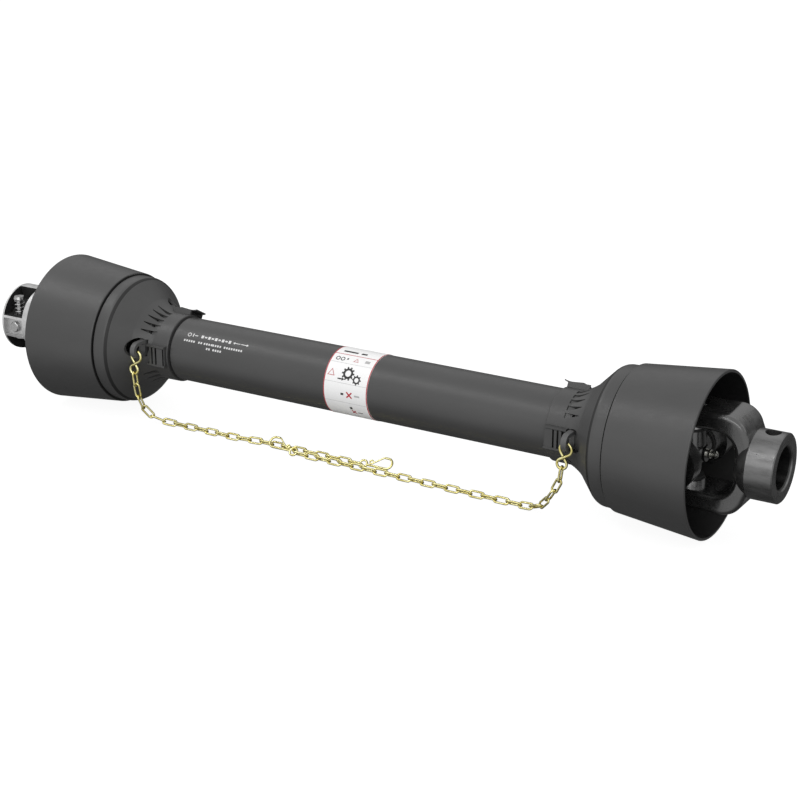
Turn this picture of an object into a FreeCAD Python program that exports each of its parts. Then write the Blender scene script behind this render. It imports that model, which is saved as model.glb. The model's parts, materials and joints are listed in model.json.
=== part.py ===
import FreeCAD, Part
import math
import os
from FreeCAD import Vector as V

# Guarded telescopic cardan shaft for farm machinery.
# Frame: +X along the shaft from the quick-release yoke to the bored yoke, +Z up,
# origin on the axis at the middle of the closed shaft. Millimetres.

# ---------------------------------------------------------------- overall layout
HALF_LENGTH = 400.0            # closed length is 800 from face to face
LEFT_CROSS_X = -310.0          # centre of the cross at the quick-release end
RIGHT_CROSS_X = 320.0          # centre of the cross at the bored end
LEFT = 1                       # a half is modelled with x running from its cross to the middle
RIGHT = -1

# ---------------------------------------------------------------- guard bells and cones
BELL_RIM_X = -24.5             # rim, on the far side of the cross from the tubes
BELL_RIM_R = 70.7
BELL_END_X = 51.0
BELL_END_R = 63.0
BELL_WALL = 2.4
RIM_ROUND = 0.8
SPIGOT_R = 59.3                # cone spigot that carries the bell
SPIGOT_X = 43.0
RING_X = 52.2                  # visible ring beyond the groove
RING_R = 60.8
CONE_WALL = 2.2
SHOULDER = (60.5, 60.5)        # cone profile from the ring to the neck: x and radius
SHOULDER_MID = (64.0, 59.7)
SHOULDER_END = (67.0, 57.4)
FLANK_END = (82.0, 42.0)
FLARE_MID = (92.0, 35.4)
NECK_X = 99.0
NECK_R = 32.3
COLLAR_END_X = 117.0
COLLAR_R = 32.0
GILL_X = (86.5, 101.5)         # wedge-shaped vents between the latches
GILL_WIDTH = (0.8, 4.6)
GILL_ANGLES = (36.0, 48.0, 60.0, 72.0, 84.0)

# ---------------------------------------------------------------- guard tubes
OUTER_GUARD_R = 30.0
INNER_GUARD_R = 27.3
GUARD_WALL = 2.2
TUBE_START_X = 98.0            # from the cross, inside the collar
OUTER_GUARD_FREE_X = -190.5    # free end stands 2.5 clear of the left collar
INNER_GUARD_FREE_X = 190.0
LABEL_X = (-18.5, 27.5)
LABEL_THICKNESS = 0.25

# ---------------------------------------------------------------- yokes and cross kits
EAR_OUTER = 42.5
EAR_INNER = 27.0
EAR_R = 21.0
CROTCH_X = 45.0
CROTCH_R = 17.0
EAR_BACK_X = 34.0              # where the ear's back starts to slope to the hub
HUB_JOIN_X = 54.0
HUB_JOIN_Z = 29.0
WEB_END = (56.0, 24.0)
EDGE_ROUND = 4.0
BEYOND = 60.0                  # longer than any half section, for cutters
CUP_R = 13.5                   # 27 mm bearing cups, 74.6 over the pair
CUP_OUTER = 37.3
CUP_INNER = 22.6
CUP_BORE_R = 10.85
CUP_FLOOR = 34.4
TRUNNION_R = 8.15
TRUNNION_END = 34.1
NEEDLE_R = 1.3
NEEDLES_PER_CUP = 20
CLIP_THICKNESS = 1.6
CLIP_R = 14.3
CLIP_GROOVE_R = 14.5
CLIP_INNER_R = 11.6
CLIP_GAP = 3.2
CLIP_LUG = (3.6, 10.8, 2.3, 1.0)   # offset, distance from centre, radius, hole radius
CHAMFER = 0.8
CORE_R = 14.6                  # ball at the middle of the cross
ARM_ROOT_R = (13.5, 11.6)
ARM_ROOT_LENGTH = 19.3
SEAL_Z = (19.6, 22.2)
SEAL_R = 12.6
GREASE_BOSS = (7.0, 15.0)      # radius and height
GREASE_HOLE = (2.6, 9.0)
GRIP = 0.05                    # radial running clearance

# ---------------------------------------------------------------- tube yokes and drive tubes
HUB_R = 29.0
HUB_END_X = 96.0
GROOVE_X = (84.0, 92.0)        # groove for the guard's bearing ring
GROOVE_R = 27.0
SOCKET_FLOOR_X = 61.0
TUBE_SEAT_X = 62.0
ROLL_PIN_X = 72.0
ROLL_PIN_R = 5.0
ROLL_PIN_WALL = 1.8
ROLL_PIN_HALF = 28.0
ROLL_PIN_SLIT = 1.2
BEARING_R = 32.6
BEARING_SPLIT = 3.0
OUTER_DRIVE_FREE_X = 205.0
INNER_DRIVE_FREE_X = -230.0
LOBE_R = 12.0                  # three-lobed tube, 43.5 across and 3.4 thick
LOBE_OFFSET = 12.2
FLAT_X = 19.3
OUTER_DRIVE_WALL = 3.4
INNER_DRIVE_INSET = 3.75       # 36 across: 0.35 clear of the outer tube all round
INNER_DRIVE_WALL = 4.0

# ---------------------------------------------------------------- end yokes
BORED_FACE_X = HALF_LENGTH - RIGHT_CROSS_X
BORED_HUB_R = 29.0
BORE_R = 17.5
SHEAR_HOLE_R = 6.5
SHEAR_HOLE_X = 11.0            # from the face
SPLINED_FACE_X = HALF_LENGTH + LEFT_CROSS_X
SPLINED_HUB_R = 32.6
SPLINE_MINOR_R = 15.0          # 1 3/8 inch, six splines
SPLINE_WIDTH = 8.7
WINDOW_X = (63.5, 87.0)        # from the cross: pocket between the two hub rims
WINDOW_ANGLES = (80.0, -76.0)  # how far the pockets reach round from the pin side
WINDOW_FLOOR_R = 20.5
BOSS_Z = (-12.6, 9.0)          # boss that guides the push pin
BOSS_FRONT_Y = -27.5
RIB = 2.4

# ---------------------------------------------------------------- push pin
PIN_X = 75.0                   # from the cross
PIN_Y = -20.8
PIN_R = 6.0
PIN_STEM_R = 3.2
PIN_HEAD_R = 5.6
PIN_TOP_Z = 27.5
PIN_HEAD = 2.5
PIN_WAIST_Z = 1.0
PIN_TRAVEL = 10.0
SPRING_R = 4.6
SPRING_WIRE_R = 0.6
SPRING_TURNS = 4.0
SPRING_SIDES = 10              # the wire's section is a ten-sided polygon
SPRING_Z = (9.7, 24.3)
RETAINER_R = 5.2
RETAINER_Y = (-30.6, -27.1)
RETAINER_Z = -2.0
NOSE_R = 1.8

# ---------------------------------------------------------------- latches, lugs, hooks and chain
LATCH_ANGLES = (0.0, 120.0, 240.0)
RAIL_X = (95.4, 116.0)
RAIL_R = (30.6, 35.6)
RAIL_Z = (-10.0, 8.2)
RAIL_WIDTH = 1.8
SILL_LENGTH = 1.4
PLATE_X = (99.2, 114.4)
PLATE_R = (32.4, 34.0)
PAD_X = 107.6
PAD_R = 35.9
RIB_R = 36.2
RIB_STARTS = (99.2, 103.4)
LATCH_HALF_WIDTH = 8.0
LEVER_HALF_WIDTH = 7.8
OPENING_X = 87.0
OPENING_END_X = 95.2
OPENING_R = 9.5
SMALL_OPENING_R = 7.0
OPENING_SHIFT = {LEFT: 5.5, RIGHT: -2.5}   # the chain's opening is off the latch's middle
LUG_X = (88.0, 93.0)
LUG_Z = {LEFT: (-2.1, 13.2), RIGHT: (-5.1, 10.2)}
LUG_Y = -50.5
LUG_BAR = 3.2
S_WIRE_R = 1.2
S_TOP_R = 5.4
S_BOTTOM_R = 4.4
S_SPACING = 13.6               # between the centres of its two loops
S_GAP = 0.25                   # between each tip and the strand it is closed against
S_TILT = 14.0                  # its lower loop hangs towards -X
S_Y = -44.5
LINK_WIRE_R = 0.95
LINK_INNER_LENGTH = 12.4
LINK_OUTER_WIDTH = 7.3
LINK_SLACK = 0.2
HANGING_LINKS = 5              # links that hang between the S-hook and the floor
HOOK_WIRE_R = 1.0
HOOK_EYE_R = 3.7
HOOK_EYE_LIFT = 0.9            # keeps the leaning eye off the floor
HOOK_LENGTH = 23.0
HOOK_NOSE = 4.0
HOOK_BEND_R = 5.0
HOOK_LEAN = 45.0               # both hooks lean to the back
GATE_WIRE_R = 0.7
GATE_FOOT = (8.8, 2.3)
GATE_CURL_R = 1.6
FLOOR_Z = -BELL_RIM_R
CHAIN_Z = FLOOR_Z + 3.0        # centre line of links that lie on alternate edges

LEFT_CHAIN_ROUTE = (
    (-222.8, S_Y, -16.9), (-222.0, -43.5, -30.0), (-221.0, -41.5, -43.5), (-217.8, -38.0, -54.5),
    (-212.0, -33.0, -63.0), (-202.0, -28.5, -66.8), (-190.0, -26.6, CHAIN_Z),
    (-118.0, -26.4, CHAIN_Z), (-94.0, -23.0, CHAIN_Z), (20.5, -23.0, CHAIN_Z))
RIGHT_CHAIN_ROUTE = (
    (226.2, S_Y, -19.9), (224.6, -44.3, -32.0), (217.2, -42.5, -46.0), (210.5, -40.0, -55.5),
    (202.5, -36.5, -63.0), (192.0, -32.6, -66.8), (180.0, -31.0, CHAIN_Z), (30.0, -30.4, CHAIN_Z),
    (-56.5, -30.4, CHAIN_Z))


# ---------------------------------------------------------------- helpers
def in_place(shape, side):
    """Move a shape from its half's own frame to the shaft's frame."""
    moved = shape.copy()
    if side == RIGHT:
        moved.rotate(V(0, 0, 0), V(0, 1, 0), 180)
    moved.translate(V(LEFT_CROSS_X if side == LEFT else RIGHT_CROSS_X, 0, 0))
    return moved


def turned(shape, degrees):
    """Turn a shape about the shaft's axis."""
    moved = shape.copy()
    moved.rotate(V(0, 0, 0), V(1, 0, 0), degrees)
    return moved


def bar(x0, x1, y0, y1, z0, z1):
    return Part.makeBox(x1 - x0, y1 - y0, z1 - z0, V(x0, y0, z0))


def rod(radius, start, end):
    axis = V(*end) - V(*start)
    return Part.makeCylinder(radius, axis.Length, V(*start), axis)


def ring(outer, inner, x0, x1):
    return rod(outer, (x0, 0, 0), (x1, 0, 0)).cut(rod(inner, (x0 - 1, 0, 0), (x1 + 1, 0, 0)))


def wire_of(pieces):
    """Wire from (x, y) vertices; a vertex inside a nested tuple is the middle of an arc."""
    edges = []
    here = V(*pieces[0], 0)
    for piece in pieces[1:]:
        if isinstance(piece[0], tuple):
            mid, end = V(*piece[0], 0), V(*piece[1], 0)
            edges.append(Part.Arc(here, mid, end).toShape())
        else:
            end = V(*piece, 0)
            edges.append(Part.LineSegment(here, end).toShape())
        here = end
    first = V(*pieces[0], 0)
    if here.sub(first).Length > 1e-6:
        edges.append(Part.LineSegment(here, first).toShape())
    return Part.Wire(edges)


def revolved(pieces):
    """Solid of revolution about X from an (x, radius) outline."""
    return Part.Face(wire_of(pieces)).revolve(V(0, 0, 0), V(1, 0, 0), 360)


def extruded_xz(pieces, half_width):
    """Prism along Y from an (x, z) outline."""
    face = Part.Face(wire_of(pieces))
    face.rotate(V(0, 0, 0), V(1, 0, 0), 90)
    face.translate(V(0, half_width, 0))
    return face.extrude(V(0, -2 * half_width, 0))


def swept(wire, radius):
    """Round bar along a planar wire of lines and arcs."""
    first = wire.OrderedEdges[0]
    start = first.valueAt(first.FirstParameter)
    tangent = first.tangentAt(first.FirstParameter)
    if first.Orientation == "Reversed":
        start = first.valueAt(first.LastParameter)
        tangent = first.tangentAt(first.LastParameter).negative()
    section = Part.Wire([Part.Circle(start, tangent, radius).toShape()])
    return wire.makePipeShell([section], True, False)


# ---------------------------------------------------------------- guards
def guard_bell():
    slope = (BELL_RIM_R - BELL_END_R) / (BELL_END_X - BELL_RIM_X)
    lip_x = BELL_END_X - BELL_WALL
    return revolved([
        (BELL_RIM_X, BELL_RIM_R - BELL_WALL), (BELL_RIM_X, BELL_RIM_R - RIM_ROUND),
        ((BELL_RIM_X + 0.3, BELL_RIM_R - 0.2), (BELL_RIM_X + 0.9, BELL_RIM_R)),
        (BELL_END_X - 1.5, BELL_END_R + 1.5 * slope),
        ((BELL_END_X - 0.4, BELL_END_R - 0.3), (BELL_END_X, BELL_END_R - 1.4)),
        (BELL_END_X, SPIGOT_R), (lip_x, SPIGOT_R), (lip_x, BELL_END_R - BELL_WALL + slope * BELL_WALL)])


def cone_outline(offset):
    """Outer line of the cone from its ring to its neck, moved inwards by offset."""
    def inset(point, along, inward):
        return (point[0] - along * offset, point[1] - inward * offset)

    return [
        inset(SHOULDER, 0.3, 1.0),
        (inset(SHOULDER_MID, 0.5, 0.9), inset(SHOULDER_END, 0.75, 0.65)),
        inset(FLANK_END, 0.8, 0.6),
        (inset(FLARE_MID, 0.6, 0.8), (NECK_X, NECK_R - offset))]


def gill_cutter(angle):
    """Wedge that widens towards the collar, pointing outwards at an angle above -Y."""
    x0, x1 = GILL_X
    narrow, wide = GILL_WIDTH
    r0, r1 = NECK_R - 1.0, 46.0
    wedge = Part.Face(wire_of([
        (x0, -narrow / 2), (x1, -wide / 2), (x1, wide / 2), (x0, narrow / 2)]))
    wedge.translate(V(0, 0, r0))
    return turned(wedge.extrude(V(0, 0, r1 - r0)), 90 - angle)


def guard_cone(side):
    collar_bore = INNER_GUARD_R if side == LEFT else OUTER_GUARD_R
    shell = revolved(
        [(SPIGOT_X, SPIGOT_R - CONE_WALL), (SPIGOT_X, SPIGOT_R), (RING_X, SPIGOT_R), (RING_X, RING_R)]
        + cone_outline(0.0)
        + [(COLLAR_END_X - 0.8, COLLAR_R), (COLLAR_END_X, COLLAR_R - 0.6), (COLLAR_END_X, collar_bore),
           (TUBE_START_X - 0.4, collar_bore), (TUBE_START_X - 0.4, NECK_R - CONE_WALL)]
        + inner_cone_return())
    rails = [turned(bar(*RAIL_X, -RAIL_R[1], -RAIL_R[0], z, z + RAIL_WIDTH), -angle)
             for angle in LATCH_ANGLES for z in RAIL_Z]
    sill = bar(RAIL_X[1] - SILL_LENGTH, RAIL_X[1], 1.0 - RAIL_R[1], -RAIL_R[0], -8.4, 8.4)
    shell = shell.fuse(rails + [sill])
    shell = shell.cut(rod(collar_bore, (TUBE_START_X - 0.4, 0, 0), (COLLAR_END_X + 1, 0, 0)))
    gills = [gill_cutter(base + step) for base in LATCH_ANGLES for step in GILL_ANGLES]
    openings = []
    for angle in LATCH_ANGLES:
        shift = OPENING_SHIFT[side] if angle == 0.0 else 0.0
        radius = OPENING_R if angle == 0.0 else SMALL_OPENING_R
        hole = rod(radius, (OPENING_X, -28.5, shift), (OPENING_X, -56.0, shift))
        slot = bar(OPENING_X, OPENING_END_X, -56.0, -28.5, shift - radius + 1.5, shift + radius - 1.5)
        openings.append(turned(hole.fuse(slot), -angle))
    return shell.cut(gills + openings).removeSplitter()


def inner_cone_return():
    """Inner line of the cone from the neck back to the spigot."""
    line = cone_outline(CONE_WALL)
    ring_end, (shoulder_mid, shoulder_end), flank_end, (flare_mid, neck) = line
    return [(flare_mid, flank_end), shoulder_end, (shoulder_mid, ring_end)]


def guard_latches():
    """Ribbed pad over the chain lug and two finger levers, one set per guard."""
    half = LATCH_HALF_WIDTH
    plate = bar(*PLATE_X, -PLATE_R[1], -PLATE_R[0], -half, half)
    pad = bar(PAD_X, PLATE_X[1], -PAD_R, 0.1 - PLATE_R[1], -half, half)
    ribs = [bar(x, x + RIB, -RIB_R, 0.1 - PLATE_R[1], -half, half) for x in RIB_STARTS]
    pad_latch = plate.fuse([pad] + ribs)
    lever_line = [(99.5, 32.5), (99.5, 35.4), (102.5, 36.8), (112.0, 36.0), ((116.5, 36.1), (120.5, 37.2)),
                  (120.5, 36.0), ((116.5, 35.0), (112.8, 34.8)), (111.6, 33.6), (111.0, 32.5)]
    lever = extruded_xz(lever_line, LEVER_HALF_WIDTH)
    levers = [turned(lever, 90 - angle) for angle in LATCH_ANGLES[1:]]
    return Part.makeCompound([pad_latch.removeSplitter()] + levers)


def chain_lug(side):
    """Arched eye on the bearing ring, standing out through the opening on the -Y side."""
    x0, x1 = LUG_X
    z0, z1 = LUG_Z[side]
    mid = (z0 + z1) / 2
    half = (z1 - z0) / 2
    outer = rod(half, (x0, LUG_Y + half, mid), (x1, LUG_Y + half, mid))
    outer = outer.fuse(bar(x0, x1, LUG_Y + half, -30.0, z0, z1))
    inner_half = half - LUG_BAR
    hole = rod(inner_half, (x0 - 1, LUG_Y + half, mid), (x1 + 1, LUG_Y + half, mid))
    hole = hole.fuse(bar(x0 - 1, x1 + 1, LUG_Y + half, -34.2, mid - inner_half, mid + inner_half))
    lug = outer.cut(hole)
    if side == RIGHT:
        lug = lug.mirror(V(0, 0, 0), V(0, 0, 1))
    return lug


def guard_bearing(side):
    """Nylon ring that runs in the tube yoke's groove and carries the guard."""
    x0, x1 = GROOVE_X[0] + 0.1, GROOVE_X[1] - 0.1
    body = ring(BEARING_R, GROOVE_R + GRIP, x0, x1)
    tabs = [turned(bar(x0, 91.0, -37.5, -31.5, -4.0, 4.0), -angle) for angle in LATCH_ANGLES[1:]]
    lug = chain_lug(side).cut(rod(30.5, (80, 0, 0), (100, 0, 0)))
    keep_clear = rod(HUB_R + 0.5, (GROOVE_X[1] - 0.1, 0, 0), (HUB_END_X + 4, 0, 0))
    body = body.fuse(tabs + [lug.cut(keep_clear)])
    split = bar(x0 - 1, x1 + 1, 20.0, 40.0, -BEARING_SPLIT / 2, BEARING_SPLIT / 2)
    return body.cut(split).removeSplitter()


def guard_tube(radius, x0, x1):
    return ring(radius, radius - GUARD_WALL, x0, x1)


# ---------------------------------------------------------------- yokes
def fork():
    """Two-eared fork with its ears at +Z and -Z and its web towards +X."""
    web_end_x, web_end_z = WEB_END
    bulge = (46.5, 39.2)
    web = [(-EAR_R, EAR_OUTER), (EAR_BACK_X, EAR_OUTER), (bulge, (HUB_JOIN_X, HUB_JOIN_Z)),
           (web_end_x, web_end_z), (web_end_x, -web_end_z), (HUB_JOIN_X, -HUB_JOIN_Z),
           ((bulge[0], -bulge[1]), (EAR_BACK_X, -EAR_OUTER)), (-EAR_R, -EAR_OUTER),
           (-EAR_R, -EAR_INNER), (CROTCH_X - CROTCH_R, -EAR_INNER)]
    corner = CROTCH_R * math.sin(math.radians(45))
    low = -EAR_INNER + CROTCH_R
    web += [((CROTCH_X - CROTCH_R + corner, low - corner), (CROTCH_X, low)), (CROTCH_X, -low),
            ((CROTCH_X - CROTCH_R + corner, -low + corner), (CROTCH_X - CROTCH_R, EAR_INNER)),
            (-EAR_R, EAR_INNER)]
    prism = extruded_xz(web, EAR_R)
    rims = [e for e in prism.Edges if e.BoundBox.YLength < 0.01 and e.BoundBox.XMin < web_end_x - 1
            and e.BoundBox.XMax > -EAR_R + 1]
    prism = prism.makeFillet(EDGE_ROUND, rims)
    ends = rod(EAR_R, (0, 0, -BEYOND), (0, 0, BEYOND))
    ends = ends.fuse(bar(0, web_end_x + 1, -EAR_R, EAR_R, -BEYOND, BEYOND))
    body = prism.common(ends)
    bores = rod(CUP_R, (0, 0, -BEYOND), (0, 0, BEYOND))
    grooves = [rod(CLIP_GROOVE_R, (0, 0, s * CUP_OUTER), (0, 0, s * (CUP_OUTER + CLIP_THICKNESS + 0.1)))
               for s in (-1, 1)]
    return body.cut([bores] + grooves)


def hub_blank(radius, end_x, chamfer):
    """Turned hub that tapers into the fork's web."""
    start_x = CROTCH_X + 0.6
    taper = ((WEB_END[0] - 5.0, radius - 3.0), (WEB_END[0] + 1.0, radius))
    return revolved([(start_x, 0), (start_x, radius - 8.0), taper,
                     (end_x - chamfer, radius), (end_x, radius - chamfer), (end_x, 0)])


def facing_out(shape):
    """Turn an end yoke so that its hub points away from the tubes."""
    moved = shape.copy()
    moved.rotate(V(0, 0, 0), V(0, 1, 0), 180)
    return moved


def bored_yoke():
    body = fork().fuse(hub_blank(BORED_HUB_R, BORED_FACE_X, 0.8))
    hole_x = BORED_FACE_X - SHEAR_HOLE_X
    cutters = [rod(BORE_R, (CROTCH_X - 5, 0, 0), (BORED_FACE_X + 1, 0, 0)),
               Part.makeCone(BORE_R, BORE_R + 3.0, 3.0, V(BORED_FACE_X - 2.0, 0, 0), V(1, 0, 0)),
               rod(SHEAR_HOLE_R, (hole_x, 0, -BEYOND), (hole_x, 0, BEYOND))]
    return facing_out(body.cut(cutters).removeSplitter())


def pocket(x0, x1, z_start, angle_end):
    """Pocket between the hub's rims, emptied down to the sleeve, from a level face to an angle above -Y."""
    sector = ring(SPLINED_HUB_R + 5, WINDOW_FLOOR_R, x0, x1)
    reach = 80.0
    end = math.radians(angle_end)
    outline = [V(x0 - 1, 0, z_start), V(x0 - 1, -reach, z_start),
               V(x0 - 1, -reach, reach * math.copysign(1.0, z_start)),
               V(x0 - 1, -reach * math.cos(end), reach * math.sin(end)), V(x0 - 1, 0, z_start)]
    face = Part.Face(Part.makePolygon(outline))
    return sector.common(face.extrude(V(x1 - x0 + 2, 0, 0)))


def quick_release_yoke():
    """Splined end yoke, modelled with its hub towards -X because the pin side faces -Y."""
    body = facing_out(fork().fuse(hub_blank(SPLINED_HUB_R, SPLINED_FACE_X, 1.2)))
    x0, x1 = -WINDOW_X[1], -WINDOW_X[0]
    upper = pocket(x0, x1, BOSS_Z[1], WINDOW_ANGLES[0])
    lower = pocket(x0, x1, BOSS_Z[0], WINDOW_ANGLES[1])
    boss = bar(x0, x1, -40.0, BOSS_FRONT_Y, BOSS_Z[0] + RIB, BOSS_Z[1] - RIB)
    near, far = -SPLINED_FACE_X - 1, -CROTCH_X + 5
    through = rod(BORE_R, (near, 0, 0), (far, 0, 0))
    slot = bar(near, far, -SPLINE_WIDTH / 2, SPLINE_WIDTH / 2, -BORE_R, BORE_R)
    splines = [turned(slot, 90 + 60 * i).common(through) for i in range(3)]
    cutters = [upper, lower, boss,
               rod(SPLINE_MINOR_R, (near, 0, 0), (far, 0, 0)),
               rod(PIN_R + GRIP, (-PIN_X, PIN_Y, -26), (-PIN_X, PIN_Y, 40)),
               rod(RETAINER_R, (-PIN_X, -40, RETAINER_Z), (-PIN_X, RETAINER_Y[1], RETAINER_Z)),
               rod(NOSE_R, (-PIN_X, RETAINER_Y[1] - 1, RETAINER_Z), (-PIN_X, PIN_Y, RETAINER_Z)),
               Part.makeCone(BORE_R + 1.0, BORE_R, 1.2, V(-SPLINED_FACE_X, 0, 0), V(1, 0, 0))] + splines
    return body.cut(cutters).removeSplitter()


def tube_yoke(side):
    """Yoke with its ears at +Y and -Y, a bearing groove and a three-lobed socket."""
    body = turned(fork(), 90).fuse(hub_blank(HUB_R, HUB_END_X, 1.0))
    inset = 0.0 if side == LEFT else INNER_DRIVE_INSET
    socket = three_lobed(inset, SOCKET_FLOOR_X, HUB_END_X + 1)
    if side == RIGHT:
        socket = turned(socket, 180)
    groove = ring(HUB_R + 1, GROOVE_R, *GROOVE_X)
    pin_hole = rod(ROLL_PIN_R, (ROLL_PIN_X, 0, -BEYOND), (ROLL_PIN_X, 0, BEYOND))
    return body.cut([socket, groove, pin_hole]).removeSplitter()


def three_lobed(inset, x0, x1):
    """Solid bar of the three-lobed section, its outline moved inwards by inset."""
    lobe_r = LOBE_R - inset
    gap = FLAT_X - LOBE_R
    flat_centre = (LOBE_OFFSET ** 2 - gap ** 2) / (2 * gap - LOBE_OFFSET)
    flat_r = FLAT_X + flat_centre - inset
    edges = []
    for i in range(3):
        lobe = math.radians(90 + 120 * i)
        after = math.radians(150 + 120 * i)
        before = math.radians(30 + 120 * i)
        centre = V(0, LOBE_OFFSET * math.cos(lobe), LOBE_OFFSET * math.sin(lobe))
        far_after = V(0, -flat_centre * math.cos(after), -flat_centre * math.sin(after))
        far_before = V(0, -flat_centre * math.cos(before), -flat_centre * math.sin(before))
        next_lobe = math.radians(210 + 120 * i)
        next_centre = V(0, LOBE_OFFSET * math.cos(next_lobe), LOBE_OFFSET * math.sin(next_lobe))
        start = centre + (centre - far_before).normalize() * lobe_r
        tip = centre + V(0, math.cos(lobe), math.sin(lobe)) * lobe_r
        end = centre + (centre - far_after).normalize() * lobe_r
        edges.append(Part.Arc(start, tip, end).toShape())
        flat_mid = far_after + V(0, math.cos(after), math.sin(after)) * flat_r
        flat_end = next_centre + (next_centre - far_after).normalize() * lobe_r
        edges.append(Part.Arc(end, flat_mid, flat_end).toShape())
    face = Part.Face(Part.Wire(edges))
    face.translate(V(x0, 0, 0))
    return face.extrude(V(x1 - x0, 0, 0))


def drive_tube(inset, wall, x0, x1, pin_x):
    """Three-lobed tube in the shaft's frame, drilled for its roll pin."""
    tube = three_lobed(inset, x0, x1).cut(three_lobed(inset + wall, x0 - 1, x1 + 1))
    return tube.cut(rod(ROLL_PIN_R, (pin_x, 0, -BEYOND), (pin_x, 0, BEYOND)))


def roll_pin(x):
    """Slit spring pin along Z."""
    pin = rod(ROLL_PIN_R, (x, 0, -ROLL_PIN_HALF), (x, 0, ROLL_PIN_HALF))
    pin = pin.cut(rod(ROLL_PIN_R - ROLL_PIN_WALL, (x, 0, -BEYOND), (x, 0, BEYOND)))
    return pin.cut(bar(x - ROLL_PIN_R - 1, x, -ROLL_PIN_SLIT / 2, ROLL_PIN_SLIT / 2, -BEYOND, BEYOND))


# ---------------------------------------------------------------- cross kit
def along_pair(shape, axis):
    """A piece built along +Z, repeated along -Z, with the pair turned to lie on Y if asked."""
    other = shape.copy()
    other.rotate(V(0, 0, 0), V(1, 0, 0), 180)
    pair = [shape, other]
    if axis == "Y":
        pair = [turned(piece, 90) for piece in pair]
    return pair


def cross():
    arms = []
    for axis in ("Y", "Z"):
        trunnion = rod(TRUNNION_R, (0, 0, 0), (0, 0, TRUNNION_END - CHAMFER))
        tip_start = V(0, 0, TRUNNION_END - CHAMFER)
        tip = Part.makeCone(TRUNNION_R, TRUNNION_R - CHAMFER, CHAMFER, tip_start, V(0, 0, 1))
        root = Part.makeCone(*ARM_ROOT_R, ARM_ROOT_LENGTH, V(0, 0, 0), V(0, 0, 1))
        arms += along_pair(trunnion.fuse([tip, root]).removeSplitter(), axis)
    boss_r, boss_end = GREASE_BOSS
    boss = rod(boss_r, (0, 0, 0), (-boss_end, 0, 0))
    body = Part.makeSphere(CORE_R).fuse(arms + [boss])
    hole_r, hole_floor = GREASE_HOLE
    return body.cut(rod(hole_r, (-hole_floor, 0, 0), (-boss_end - 1, 0, 0))).removeSplitter()


def grease_nipple():
    """Threaded shank, hexagon's round envelope, neck and ball head along -X."""
    outline = [(-9.5, 0), (-9.5, 2.5), (-15.0, 2.5), (-15.0, 3.9), (-18.0, 3.9), (-18.0, 2.6), (-20.5, 2.2),
               (-21.3, 3.0), (-22.6, 3.0), (-24.0, 1.6), (-24.0, 0)]
    return revolved(outline)


def seal_rings():
    z0, z1 = SEAL_Z
    seal = rod(SEAL_R, (0, 0, z0), (0, 0, z1)).cut(rod(TRUNNION_R, (0, 0, z0 - 1), (0, 0, z1 + 1)))
    return Part.makeCompound(along_pair(seal, "Z") + along_pair(seal, "Y"))


def bearing_cups(axis):
    cup = rod(CUP_R, (0, 0, CUP_INNER), (0, 0, CUP_OUTER - CHAMFER))
    cap = Part.makeCone(CUP_R, CUP_R - CHAMFER, CHAMFER, V(0, 0, CUP_OUTER - CHAMFER), V(0, 0, 1))
    cup = cup.fuse(cap).removeSplitter().cut(rod(CUP_BORE_R, (0, 0, CUP_INNER - 1), (0, 0, CUP_FLOOR)))
    return Part.makeCompound(along_pair(cup, axis))


def needle_rollers(axis):
    pitch_r = TRUNNION_R + GRIP + NEEDLE_R
    needles = []
    for i in range(NEEDLES_PER_CUP):
        a = 2 * math.pi * i / NEEDLES_PER_CUP
        x, y = pitch_r * math.cos(a), pitch_r * math.sin(a)
        needles += along_pair(rod(NEEDLE_R, (x, y, CUP_INNER + 0.9), (x, y, CUP_FLOOR - 0.6)), axis)
    return Part.makeCompound(needles)


def circlips(axis):
    z0, z1 = CUP_OUTER + 0.05, CUP_OUTER + 0.05 + CLIP_THICKNESS
    aside, out, lug_r, hole_r = CLIP_LUG
    clip = rod(CLIP_R, (0, 0, z0), (0, 0, z1)).cut(rod(CLIP_INNER_R, (0, 0, z0 - 1), (0, 0, z1 + 1)))
    lugs = [rod(lug_r, (s * aside, -out, z0), (s * aside, -out, z1)) for s in (-1, 1)]
    holes = [rod(hole_r, (s * aside, -out, z0 - 1), (s * aside, -out, z1 + 1)) for s in (-1, 1)]
    mouth = bar(-CLIP_GAP / 2, CLIP_GAP / 2, -CLIP_R - 5, -6, z0 - 1, z1 + 1)
    clip = clip.fuse(lugs).cut(holes + [mouth])
    return Part.makeCompound(along_pair(clip.removeSplitter(), axis))


# ---------------------------------------------------------------- push pin, in the shaft's frame
def pin_place():
    return LEFT_CROSS_X - PIN_X


def push_pin():
    x = pin_place()
    z0 = BOSS_Z[0] - 2.0
    lock = rod(PIN_R, (x, PIN_Y, z0), (x, PIN_Y, PIN_WAIST_Z))
    waist = rod(PIN_STEM_R, (x, PIN_Y, PIN_WAIST_Z), (x, PIN_Y, PIN_TOP_Z - PIN_HEAD))
    head_start = V(x, PIN_Y, PIN_TOP_Z - PIN_HEAD)
    head = Part.makeCone(PIN_HEAD_R, PIN_HEAD_R - 0.9, PIN_HEAD, head_start, V(0, 0, 1))
    keyway = bar(x - 2.4, x + 2.4, PIN_Y - 7, PIN_Y - 3.4, -3.9, PIN_TRAVEL)
    return lock.fuse([waist, head]).cut(keyway).removeSplitter()


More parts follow.
